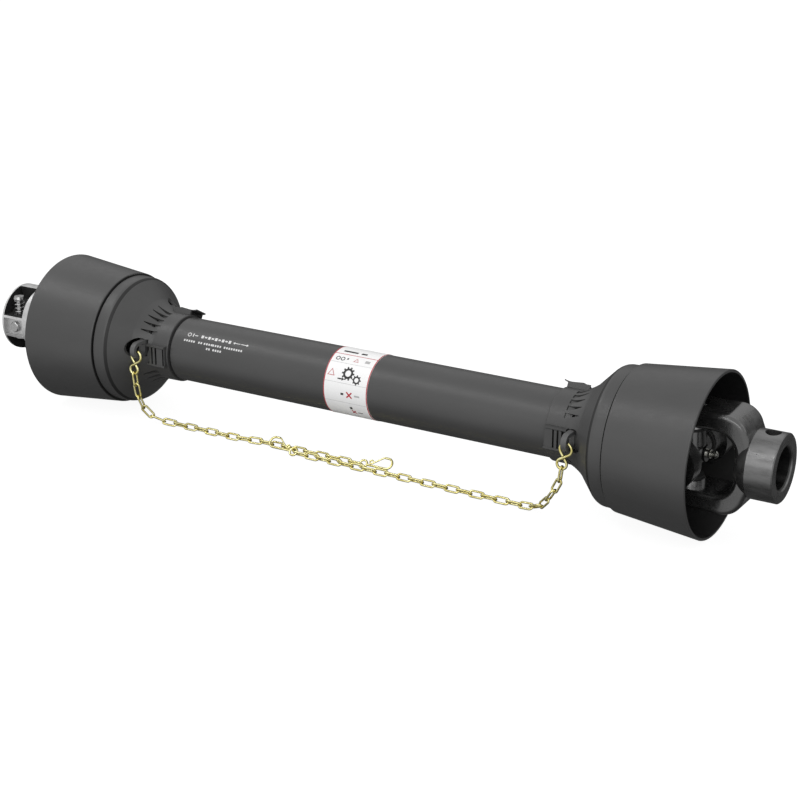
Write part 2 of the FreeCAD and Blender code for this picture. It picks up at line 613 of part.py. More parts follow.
def push_pin_spring():
    x = pin_place()
    z0, z1 = SPRING_Z
    pitch = (z1 - z0) / SPRING_TURNS
    helix = Part.makeHelix(pitch, z1 - z0, SPRING_R)
    start = V(SPRING_R, 0, 0)
    tangent = V(0, 2 * math.pi * SPRING_R, pitch).normalize()
    outward = V(SPRING_WIRE_R, 0, 0)
    across = tangent.cross(outward)
    corners = []
    for i in range(SPRING_SIDES + 1):
        a = 2 * math.pi * (i % SPRING_SIDES) / SPRING_SIDES
        corners.append(start + outward * math.cos(a) + across * math.sin(a))
    coil = Part.Wire(helix.Edges).makePipeShell([Part.makePolygon(corners)], True, True)
    coil.translate(V(x, PIN_Y, z0))
    return coil


def push_pin_retainer():
    x = pin_place()
    front, back = RETAINER_Y
    plug = rod(RETAINER_R, (x, front, RETAINER_Z), (x, back, RETAINER_Z))
    dome = Part.makeCone(RETAINER_R, RETAINER_R - CHAMFER, CHAMFER, V(x, front, RETAINER_Z), V(0, -1, 0))
    nose = rod(NOSE_R, (x, back - 0.3, RETAINER_Z), (x, PIN_Y - 3.9, RETAINER_Z))
    return plug.fuse([dome, nose]).removeSplitter()


# ---------------------------------------------------------------- hooks and chain
def s_hook(x, side):
    """S-hook closed to a figure of eight, hanging in the lug with its flat side towards -Y."""
    top = V(x, S_Y, LUG_Z[side][0] + LUG_BAR / 2)
    low = top - V(0, 0, S_SPACING)
    steepness = math.degrees(math.asin((S_TOP_R + S_BOTTOM_R) / S_SPACING))
    crossing = top - V(0, 0, S_SPACING * S_TOP_R / (S_TOP_R + S_BOTTOM_R))
    reach = (S_WIRE_R + S_GAP) / math.sin(math.radians(2 * steepness))

    def at(centre, radius, degrees):
        a = math.radians(degrees)
        return centre + V(radius * math.cos(a), 0, radius * math.sin(a))

    top_right, top_left = at(top, S_TOP_R, -steepness), at(top, S_TOP_R, 180 + steepness)
    low_right, low_left = at(low, S_BOTTOM_R, steepness), at(low, S_BOTTOM_R, 180 - steepness)
    upper_tip = crossing + (top_left - crossing).normalize() * reach
    lower_tip = crossing + (low_right - crossing).normalize() * reach
    edges = [Part.LineSegment(upper_tip, top_left).toShape(),
             Part.Arc(top_left, at(top, S_TOP_R, 90), top_right).toShape(),
             Part.LineSegment(top_right, low_left).toShape(),
             Part.Arc(low_left, at(low, S_BOTTOM_R, -90), low_right).toShape(),
             Part.LineSegment(low_right, lower_tip).toShape()]
    hook = swept(Part.Wire(edges), S_WIRE_R)
    hook.rotate(top, V(0, 1, 0), S_TILT)
    return hook


def chain_link():
    """One straight link along X, lying in the XY plane."""
    bend = LINK_OUTER_WIDTH / 2 - LINK_WIRE_R
    half = LINK_INNER_LENGTH / 2 + LINK_WIRE_R - bend
    right = Part.makeTorus(bend, LINK_WIRE_R, V(0, 0, 0), V(0, 0, 1), 0, 360, 180)
    right.rotate(V(0, 0, 0), V(0, 0, 1), -90)
    left = right.copy()
    left.rotate(V(0, 0, 0), V(0, 0, 1), 180)
    right.translate(V(half, 0, 0))
    left.translate(V(-half, 0, 0))
    sides = [rod(LINK_WIRE_R, (-half, y, 0), (half, y, 0)) for y in (-bend, bend)]
    return right.fuse([left] + sides).removeSplitter()


def points_along(route, step):
    """Points a chord of one step apart along a route of straight runs."""
    corners = [V(*p) for p in route]
    points = [corners[0]]
    run = 0
    while run < len(corners) - 1:
        here, end = points[-1], corners[run + 1]
        if (end - here).Length < step:
            run += 1
            continue
        start = corners[run]
        direction = (end - start).normalize()
        to_start = start - here
        along = to_start.dot(direction)
        reach = -along + math.sqrt(max(along ** 2 - to_start.dot(to_start) + step ** 2, 0.0))
        points.append(start + direction * reach)
    return points


def chain(route, twist):
    """Links along a route, each turned a quarter from the last, all twisted an eighth once down."""
    joints = points_along(route, LINK_INNER_LENGTH - LINK_SLACK)
    link = chain_link()
    links = []
    for i in range(len(joints) - 1):
        tangent = (joints[i + 1] - joints[i]).normalize()
        side_way = (V(0, 1, 0) - tangent * tangent.y).normalize()
        up = tangent.cross(side_way)
        turn = FreeCAD.Matrix(tangent.x, side_way.x, up.x, 0, tangent.y, side_way.y, up.y, 0,
                              tangent.z, side_way.z, up.z, 0, 0, 0, 0, 1)
        placed = link.copy()
        roll = 90 * (i % 2) + 45 * twist * min(i / HANGING_LINKS, 1.0)
        placed.rotate(V(0, 0, 0), V(1, 0, 0), roll)
        placed.Placement = FreeCAD.Placement(turn).multiply(placed.Placement)
        placed.translate((joints[i] + joints[i + 1]) * 0.5)
        links.append(placed)
    return Part.makeCompound(links), joints[-1]


def laid(shape, eye, direction, lean):
    """Lay a hook on the floor with its eye at a point, pointing along +X or -X."""
    moved = shape.copy()
    moved.rotate(V(0, 0, 0), V(1, 0, 0), lean)
    if direction < 0:
        moved.rotate(V(0, 0, 0), V(0, 0, 1), 180)
    moved.translate(eye)
    return moved


def snap_hook():
    """Wire snap hook in the XZ plane: eye at the origin, nose along +X."""
    eye = Part.makeTorus(HOOK_EYE_R, HOOK_WIRE_R, V(0, 0, 0), V(0, 1, 0))
    start = V(HOOK_EYE_R + 0.4, 0, 0)
    bend_end = V(HOOK_LENGTH, 0, 2 * HOOK_BEND_R)
    shank = Part.LineSegment(start, V(HOOK_LENGTH, 0, 0)).toShape()
    bend = Part.Arc(V(HOOK_LENGTH, 0, 0), V(HOOK_LENGTH + HOOK_BEND_R, 0, HOOK_BEND_R), bend_end).toShape()
    nose = Part.LineSegment(bend_end, bend_end - V(HOOK_NOSE, 0, 0)).toShape()
    body = swept(Part.Wire([shank, bend, nose]), HOOK_WIRE_R)
    return eye.fuse(body).removeSplitter()


def snap_gate():
    """Sprung wire gate from the shank to the hook's nose."""
    foot_x, foot_z = GATE_FOOT
    tip = (HOOK_LENGTH - HOOK_NOSE - 0.6, 0, 2 * HOOK_BEND_R)
    wire = rod(GATE_WIRE_R, (foot_x, 0, foot_z), tip)
    curl = Part.makeTorus(GATE_CURL_R, GATE_WIRE_R, V(foot_x - 1.4, 0, foot_z + 1.2), V(0, 1, 0))
    return wire.fuse(curl).removeSplitter()


# ---------------------------------------------------------------- assembly
def hand_of(side):
    return "left" if side == LEFT else "right"


def guard_nodes():
    nodes = {}
    for side in (LEFT, RIGHT):
        hand = hand_of(side)
        nodes[hand + "_guard_bell"] = in_place(guard_bell(), side)
        nodes[hand + "_guard_cone"] = in_place(guard_cone(side), side)
        nodes[hand + "_guard_latches"] = in_place(guard_latches(), side)
        nodes[hand + "_guard_bearing"] = in_place(guard_bearing(side), side)
    nodes["inner_guard_tube"] = guard_tube(INNER_GUARD_R, LEFT_CROSS_X + TUBE_START_X, INNER_GUARD_FREE_X)
    nodes["outer_guard_tube"] = guard_tube(OUTER_GUARD_R, OUTER_GUARD_FREE_X, RIGHT_CROSS_X - TUBE_START_X)
    nodes["safety_label"] = ring(OUTER_GUARD_R + LABEL_THICKNESS, OUTER_GUARD_R, *LABEL_X)
    return nodes


def drive_nodes():
    nodes = {}
    for side in (LEFT, RIGHT):
        hand = hand_of(side)
        nodes[hand + "_tube_yoke"] = in_place(tube_yoke(side), side)
        nodes[hand + "_tube_yoke_cups"] = in_place(bearing_cups("Y"), side)
        nodes[hand + "_tube_yoke_needles"] = in_place(needle_rollers("Y"), side)
        nodes[hand + "_tube_yoke_circlips"] = in_place(circlips("Y"), side)
        nodes[hand + "_cross"] = in_place(cross(), side)
        nodes[hand + "_cross_seals"] = in_place(seal_rings(), side)
        nodes[hand + "_grease_nipple"] = in_place(grease_nipple(), side)
        nodes[hand + "_end_yoke_cups"] = in_place(bearing_cups("Z"), side)
        nodes[hand + "_end_yoke_needles"] = in_place(needle_rollers("Z"), side)
        nodes[hand + "_end_yoke_circlips"] = in_place(circlips("Z"), side)
    left_pin_x = LEFT_CROSS_X + ROLL_PIN_X
    right_pin_x = RIGHT_CROSS_X - ROLL_PIN_X
    nodes["outer_drive_tube"] = drive_tube(0.0, OUTER_DRIVE_WALL, LEFT_CROSS_X + TUBE_SEAT_X,
                                           OUTER_DRIVE_FREE_X, left_pin_x)
    nodes["inner_drive_tube"] = drive_tube(INNER_DRIVE_INSET, INNER_DRIVE_WALL, INNER_DRIVE_FREE_X,
                                           RIGHT_CROSS_X - TUBE_SEAT_X, right_pin_x)
    nodes["left_roll_pin"] = roll_pin(left_pin_x)
    nodes["right_roll_pin"] = roll_pin(right_pin_x)
    return nodes


def end_yoke_nodes():
    return {
        "quick_release_yoke": in_place(quick_release_yoke(), LEFT),
        "push_pin": push_pin(),
        "push_pin_spring": push_pin_spring(),
        "push_pin_retainer": push_pin_retainer(),
        "bored_yoke": in_place(bored_yoke(), RIGHT)}


def chain_nodes():
    nodes = {}
    lug_middle = (LUG_X[0] + LUG_X[1]) / 2
    for side, route in ((LEFT, LEFT_CHAIN_ROUTE), (RIGHT, RIGHT_CHAIN_ROUTE)):
        hand = hand_of(side)
        cross_x = LEFT_CROSS_X if side == LEFT else RIGHT_CROSS_X
        nodes[hand + "_s_hook"] = s_hook(cross_x + side * lug_middle, side)
        links, end = chain(route, -side)
        nodes[hand + "_chain"] = links
        eye = end + V(side * (HOOK_EYE_R - 1.6), 0, HOOK_EYE_LIFT)
        nodes[hand + "_snap_hook"] = laid(snap_hook(), eye, side, -side * HOOK_LEAN)
        nodes[hand + "_snap_gate"] = laid(snap_gate(), eye, side, -side * HOOK_LEAN)
    return nodes


def main():
    os.makedirs("parts", exist_ok=True)
    nodes = {}
    for group in (guard_nodes(), drive_nodes(), end_yoke_nodes(), chain_nodes()):
        nodes.update(group)
    for name, shape in nodes.items():
        shape.exportStep("parts/" + name + ".step")
        print(name, len(shape.Solids), shape.isValid(), round(shape.Volume))


main()
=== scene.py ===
import json
import math

import bmesh
import bpy
from mathutils import Matrix, Vector


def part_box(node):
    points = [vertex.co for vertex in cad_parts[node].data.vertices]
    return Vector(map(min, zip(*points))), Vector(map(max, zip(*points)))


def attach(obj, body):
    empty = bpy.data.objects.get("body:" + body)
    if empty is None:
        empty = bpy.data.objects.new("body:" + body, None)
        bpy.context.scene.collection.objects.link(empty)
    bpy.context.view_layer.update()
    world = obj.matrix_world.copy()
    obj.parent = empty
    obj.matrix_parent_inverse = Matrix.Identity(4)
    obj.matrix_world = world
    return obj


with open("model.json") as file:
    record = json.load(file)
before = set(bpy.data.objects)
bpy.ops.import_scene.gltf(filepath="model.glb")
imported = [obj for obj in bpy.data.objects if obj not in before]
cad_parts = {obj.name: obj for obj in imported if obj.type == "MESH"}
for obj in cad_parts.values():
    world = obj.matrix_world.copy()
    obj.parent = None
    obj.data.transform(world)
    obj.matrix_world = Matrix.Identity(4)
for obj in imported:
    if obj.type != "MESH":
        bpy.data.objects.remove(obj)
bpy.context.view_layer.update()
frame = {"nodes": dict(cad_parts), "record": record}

MM = 0.001

# ---------------------------------------------------------------- camera, metres and degrees
CAMERA_AT = Vector((0.8348, -1.3016, 0.5370))
CAMERA_AZIMUTH = 31.3
CAMERA_ELEVATION = 19.7
CAMERA_LENS = 81.8
SENSOR = 36.0

# ---------------------------------------------------------------- studio: metres, watts, radiance
KEY_DIRECTION = (0.0, -0.5, 0.866)        # middle of the white dome
DOME_LIGHT = (0.10, 0.85)                 # radiance away from the dome's middle and round it
DOME_EDGE = (-0.35, 0.15)                 # where it fades, as the cosine from the dome's middle
LOOK_AT = (0.0, 0.0, 0.0)
KEY_STRIP = {"at": (-0.95, -0.92, 1.70), "size": (3.0, 0.12), "power": 8.0}
FRONT_STRIP = {"at": (0.6, -2.4, 1.1), "size": (2.8, 0.6), "power": 10.0}
FLOOR_HALF = 12.0
FLOOR_GAP = 0.0005
FLOOR_GLOW = 0.92

# ---------------------------------------------------------------- the object's own measures
FLOOR_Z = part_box("left_guard_bell")[0].z
TUBE_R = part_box("outer_guard_tube")[1].z
LABEL_LOW, LABEL_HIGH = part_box("safety_label")
LABEL_R = LABEL_HIGH.z
LABEL_MIDDLE = (LABEL_LOW.x + LABEL_HIGH.x) / 2
LABEL_WIDTH = LABEL_HIGH.x - LABEL_LOW.x
PRINT_LIFT = 0.03 * MM
PRINT_THICKNESS = 0.04 * MM
LABEL_EDGE = 0.9                  # mm, red line down each edge of the label
LABEL_EDGE_INSET = 0.55
HEADER_LINE = 71.0                # degrees above the -Y side, like every place round the tube
ROW_LINES = (51.5, 16.4, -18.0, -50.0)
TUBE_ROWS = (48.0, 36.0, 27.6)
PRINT_STEP = 0.8                  # mm round the tube between cuts, so that print follows the curve
HUB_START_X = 0.3770              # where the bored yoke's turned hub begins
NECK_START_X = 0.3657             # and its turned neck
BORE_R = 0.0182
POCKET_R = 0.0320                 # rims of the quick-release hub; everything deeper is painted in shade
POCKET_X = (-0.3985, -0.3620)
BOSS_Z = (-0.0122, 0.0086)        # its middle window, between two ribs
RECESS_Y = (-0.0354, -0.0320)     # between the ribs of the chain-side latches, where painted shade goes
GROOVE_R = (0.0580, 0.0598)       # spigot seen between a bell and its cone's ring, painted in shade
# the bells' end faces and inner faces get painted shade
BELL_END_X = (-0.2590, 0.2690)
BELL_END_BAND = 0.3 * MM
FACING_AXIS = 0.3                 # least cosine of a face that looks at the shaft's axis; such faces inside a bell get painted shade
ALONG_RADIUS = 0.98               # least cosine of a face whose normal runs out from the axis


# ---------------------------------------------------------------- materials
def material(name):
    made = bpy.data.materials.new(name)
    made.use_nodes = True
    nodes = made.node_tree.nodes
    links = made.node_tree.links
    return made, nodes, links, nodes["Principled BSDF"]


def coordinates(nodes, links, stretch=(1.0, 1.0, 1.0)):
    """The object's own coordinates, in metres, stretched by axis."""
    place = nodes.new("ShaderNodeTexCoord")
    mapping = nodes.new("ShaderNodeMapping")
    mapping.inputs["Scale"].default_value = stretch
    links.new(place.outputs["Object"], mapping.inputs["Vector"])
    return mapping.outputs["Vector"]


def noise(nodes, links, vector, scale, detail=4.0, roughness=0.55):
    texture = nodes.new("ShaderNodeTexNoise")
    texture.inputs["Scale"].default_value = scale
    texture.inputs["Detail"].default_value = detail
    texture.inputs["Roughness"].default_value = roughness
    links.new(vector, texture.inputs["Vector"])
    return texture.outputs["Fac"]


def spread(nodes, links, factor, low, high, start=0.3, end=0.7):
    """Turn a noise value into a range of numbers."""
    remap = nodes.new("ShaderNodeMapRange")
    remap.inputs["From Min"].default_value = start
    remap.inputs["From Max"].default_value = end
    remap.inputs["To Min"].default_value = low
    remap.inputs["To Max"].default_value = high
    links.new(factor, remap.inputs["Value"])
    return remap.outputs["Result"]


def tinted(nodes, links, factor, dark, light, start=0.3, end=0.7):
    ramp = nodes.new("ShaderNodeValToRGB")
    ramp.color_ramp.elements[0].position = start
    ramp.color_ramp.elements[1].position = end
    ramp.color_ramp.elements[0].color = (*dark, 1.0)
    ramp.color_ramp.elements[1].color = (*light, 1.0)
    links.new(factor, ramp.inputs["Fac"])
    return ramp.outputs["Color"]


def bumped(nodes, links, shader, height, distance, strength=1.0):
    bump = nodes.new("ShaderNodeBump")
    bump.inputs["Strength"].default_value = strength
    bump.inputs["Distance"].default_value = distance
    links.new(height, bump.inputs["Height"])
    links.new(bump.outputs["Normal"], shader.inputs["Normal"])


def moulded_plastic(name, dark, light, rough, grain):
    """Moulded polyethylene: faint flow mottling, a satin surface and a fine grain."""
    made, nodes, links, shader = material(name)
    where = coordinates(nodes, links)
    flow = noise(nodes, links, coordinates(nodes, links, (0.35, 1.0, 1.0)), 26.0, 3.0)
    links.new(tinted(nodes, links, flow, dark, light), shader.inputs["Base Color"])
    scuffs = noise(nodes, links, where, 140.0, 6.0, 0.7)
    links.new(spread(nodes, links, scuffs, rough - 0.05, rough + 0.07), shader.inputs["Roughness"])
    bumped(nodes, links, shader, noise(nodes, links, where, 1500.0, 2.0), grain)
    return made


def zinc_plate(name, dark, light, rough):
    """Yellow passivated zinc: colour drifts from straw to olive, with dull spots."""
    made, nodes, links, shader = material(name)
    where = coordinates(nodes, links)
    drift = noise(nodes, links, where, 190.0, 4.0)
    links.new(tinted(nodes, links, drift, dark, light, 0.35, 0.65), shader.inputs["Base Color"])
    shader.inputs["Metallic"].default_value = 1.0
    spots = noise(nodes, links, where, 900.0, 3.0)
    links.new(spread(nodes, links, spots, rough - 0.08, rough + 0.12), shader.inputs["Roughness"])
    bumped(nodes, links, shader, spots, 0.03 * MM)
    return made


def painted_forging(name, dark, light, rough, pitting):
    """Black paint over a forged skin, with soft pits and scale."""
    made, nodes, links, shader = material(name)
    where = coordinates(nodes, links)
    patches = noise(nodes, links, where, 70.0, 5.0, 0.65)
    links.new(tinted(nodes, links, patches, dark, light), shader.inputs["Base Color"])
    links.new(spread(nodes, links, patches, rough - 0.08, rough + 0.1), shader.inputs["Roughness"])
    shader.inputs["Specular IOR Level"].default_value = 1.0
    shader.inputs["Coat Weight"].default_value = 1.0
    shader.inputs["Coat Roughness"].default_value = 0.12
    bumped(nodes, links, shader, noise(nodes, links, where, 330.0, 5.0, 0.6), pitting)
    return made


def turned_steel(name, dark, light, rough, metallic=0.85):
    """Turned steel under an oil film: fine rings round the shaft's axis and darker streaks."""
    made, nodes, links, shader = material(name)
    rings = noise(nodes, links, coordinates(nodes, links, (1.0, 0.02, 0.02)), 2600.0, 2.0)
    streaks = noise(nodes, links, coordinates(nodes, links, (0.25, 1.0, 1.0)), 120.0, 5.0, 0.65)
    links.new(tinted(nodes, links, streaks, dark, light), shader.inputs["Base Color"])
    shader.inputs["Metallic"].default_value = metallic
    links.new(spread(nodes, links, streaks, rough - 0.06, rough + 0.1), shader.inputs["Roughness"])
    bumped(nodes, links, shader, rings, 0.05 * MM, 1.0)
    return made


def bright_steel(name, dark, light, rough):
    """Ground or drawn steel with fine random wear."""
    made, nodes, links, shader = material(name)
    wear = noise(nodes, links, coordinates(nodes, links), 420.0, 5.0, 0.6)
    links.new(tinted(nodes, links, wear, dark, light), shader.inputs["Base Color"])
    shader.inputs["Metallic"].default_value = 1.0
    links.new(spread(nodes, links, wear, rough - 0.05, rough + 0.12), shader.inputs["Roughness"])
    bumped(nodes, links, shader, wear, 0.01 * MM, 0.6)
    return made


def cast_metal(name, dark, light, rough, metallic):
    """Sand-cast skin with a grey phosphate colour."""
    made, nodes, links, shader = material(name)
    where = coordinates(nodes, links)
    tone = noise(nodes, links, where, 160.0, 5.0, 0.6)
    links.new(tinted(nodes, links, tone, dark, light), shader.inputs["Base Color"])
    shader.inputs["Metallic"].default_value = metallic
    links.new(spread(nodes, links, tone, rough - 0.07, rough + 0.1), shader.inputs["Roughness"])
    bumped(nodes, links, shader, noise(nodes, links, where, 1100.0, 4.0), 0.08 * MM, 0.7)
    return made


def soft_rubber(name, dark, light):
    made, nodes, links, shader = material(name)
    bloom = noise(nodes, links, coordinates(nodes, links), 260.0, 4.0)
    links.new(tinted(nodes, links, bloom, dark, light), shader.inputs["Base Color"])
    links.new(spread(nodes, links, bloom, 0.55, 0.75), shader.inputs["Roughness"])
    return made


def printed_ink(name, dark, light, rough=0.45):
    made, nodes, links, shader = material(name)
    fade = noise(nodes, links, coordinates(nodes, links), 700.0, 4.0, 0.65)
    links.new(tinted(nodes, links, fade, dark, light), shader.inputs["Base Color"])
    links.new(spread(nodes, links, fade, rough - 0.06, rough + 0.06), shader.inputs["Roughness"])
    return made


def grey(value):
    return (value, value, value)


MATERIALS = {
    "guard_plastic": moulded_plastic("guard_plastic", grey(0.052), grey(0.062), 0.36, 0.05 * MM),
    # near-black painted shade for latch recesses, cone grooves and the insides and ends of the bells
    "painted_recess_shade": moulded_plastic("painted_recess_shade", grey(0.006), grey(0.010), 0.55, 0.04 * MM),
    "bearing_nylon": moulded_plastic("bearing_nylon", grey(0.085), grey(0.11), 0.42, 0.04 * MM),
    "label_film": printed_ink("label_film", grey(0.90), grey(0.96), 0.38),
    "zinc_chain": zinc_plate("zinc_chain", (0.74, 0.64, 0.22), (0.98, 0.93, 0.50), 0.22),
    "forged_black": painted_forging("forged_black", grey(0.010), grey(0.020), 0.24, 0.10 * MM),
    "machined_steel": turned_steel("machined_steel", grey(0.12), grey(0.23), 0.28, 0.85),
    "bore_steel": turned_steel("bore_steel", grey(0.03), grey(0.07), 0.30, 0.85),
    "cast_grey": cast_metal("cast_grey", grey(0.48), grey(0.66), 0.33, 0.45),
    # near-black painted shade deep in the quick-release hub's pockets
    "painted_pocket_shade": cast_metal("painted_pocket_shade", grey(0.012), grey(0.022), 0.60, 0.0),
    "tube_steel": turned_steel("tube_steel", grey(0.30), grey(0.45), 0.32),
    "bearing_steel": bright_steel("bearing_steel", grey(0.34), grey(0.50), 0.26),
    "spring_steel": bright_steel("spring_steel", grey(0.40), grey(0.55), 0.24),
    "seal_rubber": soft_rubber("seal_rubber", grey(0.012), grey(0.022)),
    "nipple_zinc": bright_steel("nipple_zinc", (0.55, 0.55, 0.50), (0.78, 0.78, 0.72), 0.22),
    "ink_black": printed_ink("ink_black", grey(0.012), grey(0.03)),
    "ink_red": printed_ink("ink_red", (0.42, 0.015, 0.025), (0.55, 0.03, 0.045)),
    "ink_grey": printed_ink("ink_grey", grey(0.42), grey(0.52)),
    "ink_white": printed_ink("ink_white", grey(0.62), grey(0.80)),
}


def dress_frame():
    """Give every CAD node the material of its slot."""
    slots = {part["node"]: part["material_slot"] for part in frame["record"]["subparts"]}
    for node, piece in frame["nodes"].items():
        piece.data.materials.clear()
        piece.data.materials.append(MATERIALS[slots[node]])


def second_finish(node, name, chosen):
    """Give the faces of a node that pass a test another material."""
    mesh = frame["nodes"][node].data
    mesh.materials.append(MATERIALS[name])
    index = len(mesh.materials) - 1
    for face in mesh.polygons:
        if chosen(face.center, face.normal):
            face.material_index = index


def from_axis(point):
    return math.hypot(point.y, point.z)


def turned_part(point, normal):
    outward = (point.y * normal.y + point.z * normal.z) / from_axis(point)
    on_neck = point.x > NECK_START_X and outward > ALONG_RADIUS * math.hypot(normal.y, normal.z)
    return point.x > HUB_START_X or on_neck


def in_bore(point, normal):
    return from_axis(point) < BORE_R


# Faces deep in the quick-release pockets, which get painted shade
def deep_in_pocket(point, normal):
    between_rims = POCKET_X[0] < point.x < POCKET_X[1]
    on_window = BOSS_Z[0] < point.z < BOSS_Z[1]
    return between_rims and from_axis(point) < POCKET_R and not on_window


# Faces between the latch ribs, which get painted shade
def between_ribs(point, normal):
    return RECESS_Y[0] < point.y < RECESS_Y[1]


# Spigot faces in the groove, which get painted shade
def in_groove(point, normal):
    return GROOVE_R[0] < from_axis(point) < GROOVE_R[1]


# Bell faces looking at the axis and the bells' end faces, which get painted shade
def inside_bell(point, normal):
    inward = -(point.y * normal.y + point.z * normal.z) / from_axis(point)
    at_end = min(abs(point.x - x) for x in BELL_END_X) < BELL_END_BAND
    return inward > FACING_AXIS or at_end


# ---------------------------------------------------------------- printing on a round tube
def rectangle(x, s, width, height):
    """Corners of a bar about (x, s), s being the distance round the tube."""
    a, b = width / 2, height / 2
    return [[(x - a, s - b), (x + a, s - b), (x + a, s + b), (x - a, s + b)]]


def outline_of(points, thickness):
    """A closed line round a convex shape, as one four-sided face a side."""
    middle_x = sum(p[0] for p in points) / len(points)
    middle_s = sum(p[1] for p in points) / len(points)
    reach = max(math.hypot(p[0] - middle_x, p[1] - middle_s) for p in points)
    keep = 1.0 - thickness / reach
    inner = [(middle_x + (x - middle_x) * keep, middle_s + (s - middle_s) * keep) for x, s in points]
    count = len(points)
    return [[points[i], points[(i + 1) % count], inner[(i + 1) % count], inner[i]] for i in range(count)]


def polygon(x, s, radius, sides, turn=90.0):
    points = []
    for i in range(sides):
        angle = math.radians(turn + 360.0 * i / sides)
        points.append((x + radius * math.cos(angle), s + radius * math.sin(angle)))
    return points


def stroke(x0, s0, x1, s1, width):
    """A straight line with square ends."""
    along = Vector((x1 - x0, s1 - s0)).normalized()
    side = Vector((-along.y, along.x)) * (width / 2)
    a, b = Vector((x0, s0)), Vector((x1, s1))
    return [[tuple(a + side), tuple(a - side), tuple(b - side), tuple(b + side)]]


def toothed_wheel(x, s, radius, teeth):
    """A plain gear: a ring with square teeth."""
    faces = outline_of(polygon(x, s, radius * 0.78, 24), radius * 0.32)
    for i in range(teeth):
        angle = 2 * math.pi * i / teeth
        inner, outer = radius * 0.72, radius
        faces += stroke(x + inner * math.cos(angle), s + inner * math.sin(angle),
                        x + outer * math.cos(angle), s + outer * math.sin(angle), radius * 0.24)
    return faces


def arrow(x0, s0, x1, s1, width, head):
    along = Vector((x1 - x0, s1 - s0)).normalized()
    side = Vector((-along.y, along.x)) * head
    tip = Vector((x1, s1))
    neck = tip - along * head * 1.6
    return stroke(x0, s0, neck.x, neck.y, width) + [[tuple(tip), tuple(neck + side), tuple(neck - side)]]


def printed(name, faces, radius, ink, body):
    """Thin print on the tube from flat faces, each point being (x, distance round the tube), in mm."""
    bm = bmesh.new()
    for face in faces:
        bm.faces.new([bm.verts.new((x, s, 0.0)) for x, s in face])
    low = min(v.co.y for v in bm.verts)
    high = max(v.co.y for v in bm.verts)
    steps = max(1, int((high - low) / PRINT_STEP))
    for i in range(1, steps):
        cut = low + (high - low) * i / steps
        geometry = bm.verts[:] + bm.edges[:] + bm.faces[:]
        bmesh.ops.bisect_plane(bm, geom=geometry, plane_co=(0, cut, 0), plane_no=(0, 1, 0))
    bmesh.ops.recalc_face_normals(bm, faces=bm.faces)
    bottom = radius + PRINT_LIFT
    flat = {v: (v.co.x * MM, v.co.y * MM / radius) for v in bm.verts}
    for vertex, (x, angle) in flat.items():
        vertex.co = Vector((x, -bottom * math.cos(angle), bottom * math.sin(angle)))
    for face in bm.faces:
        face.normal_update()
        middle = face.calc_center_median()
        if face.normal.dot(Vector((0, middle.y, middle.z))) < 0:
            face.normal_flip()
    bmesh.ops.solidify(bm, geom=bm.faces[:], thickness=-PRINT_THICKNESS)
    mesh = bpy.data.meshes.new(name)
    bm.to_mesh(mesh)
    bm.free()
    piece = bpy.data.objects.new(name, mesh)
    bpy.context.scene.collection.objects.link(piece)
    mesh.materials.append(MATERIALS[ink])
    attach(piece, body)
    return piece


def round_tube(degrees, radius):
    """Distance round a tube, in mm, of an angle above the -Y side."""
    return math.radians(degrees) * radius / MM


def label_print():
    """Edge lines, dividers and plain generic shapes on the label, row by row from the top."""
    def s(degrees):
        return round_tube(degrees, LABEL_R)

    x0, x1 = LABEL_LOW.x / MM, LABEL_HIGH.x / MM
    width = x1 - x0
    middle = LABEL_MIDDLE / MM
    circle = 2 * math.pi * LABEL_R / MM
    edges = []
    for x in (x0 + LABEL_EDGE_INSET, x1 - LABEL_EDGE_INSET):
        edges += rectangle(x, 0.0, LABEL_EDGE, circle * 0.999)
    edges += rectangle(middle, s(HEADER_LINE), width - 1.0, 0.6)
    triangle = outline_of(polygon(middle + 3.0, s(60.0), 3.0, 3), 0.8)
    triangle += outline_of(polygon(middle - 16.5, s(30.5), 4.3, 3), 1.0)
    cross = stroke(middle + 1.6, s(-7.5), middle + 7.0, s(2.5), 1.3)
    small = stroke(middle + 4.0, s(-42.0), middle + 8.0, s(-34.0), 1.1)
    small += stroke(middle + 4.0, s(-34.0), middle + 8.0, s(-42.0), 1.1)
    printed("label_print_red", edges + triangle + cross + small, LABEL_R, "ink_red", "guard_right")
    second = stroke(middle + 1.6, s(2.5), middle + 7.0, s(-7.5), 1.3)
    printed("label_print_red_stroke", second, LABEL_R + PRINT_THICKNESS, "ink_red", "guard_right")
    black = rectangle(middle - 8.5, s(80.0), 15.0, 2.4) + rectangle(middle + 5.5, s(80.0), 6.0, 2.4)
    black += outline_of(polygon(middle - 16.0, s(59.6), 2.2, 16), 0.8)
    black += outline_of(polygon(middle - 11.0, s(59.6), 2.2, 16), 0.8)
    black += [polygon(middle - 6.0, s(61.0), 1.0, 12)]
    black += toothed_wheel(middle + 0.5, s(34.0), 6.4, 10) + toothed_wheel(middle + 10.5, s(25.5), 4.6, 8)
    black += arrow(middle - 9.0, s(23.0), middle - 2.0, s(23.0), 1.2, 1.6)
    black += rectangle(middle - 3.0, s(-2.4), 3.0, 2.0)
    black += [polygon(middle + 4.4, s(-28.5), 1.9, 4, 45.0)] + rectangle(middle + 12.5, s(-38.0), 5.0, 1.0)
    printed("label_print_black", black, LABEL_R, "ink_black", "guard_right")
    lines = []
    for degrees in ROW_LINES:
        lines += rectangle(middle, s(degrees), width - 3.0, 0.25)
    lines += rectangle(middle + 14.5, s(61.0), 5.0, 3.0) + rectangle(middle + 12.5, s(-2.2), 5.5, 1.6)
    printed("label_print_grey", lines, LABEL_R, "ink_grey", "guard_right")


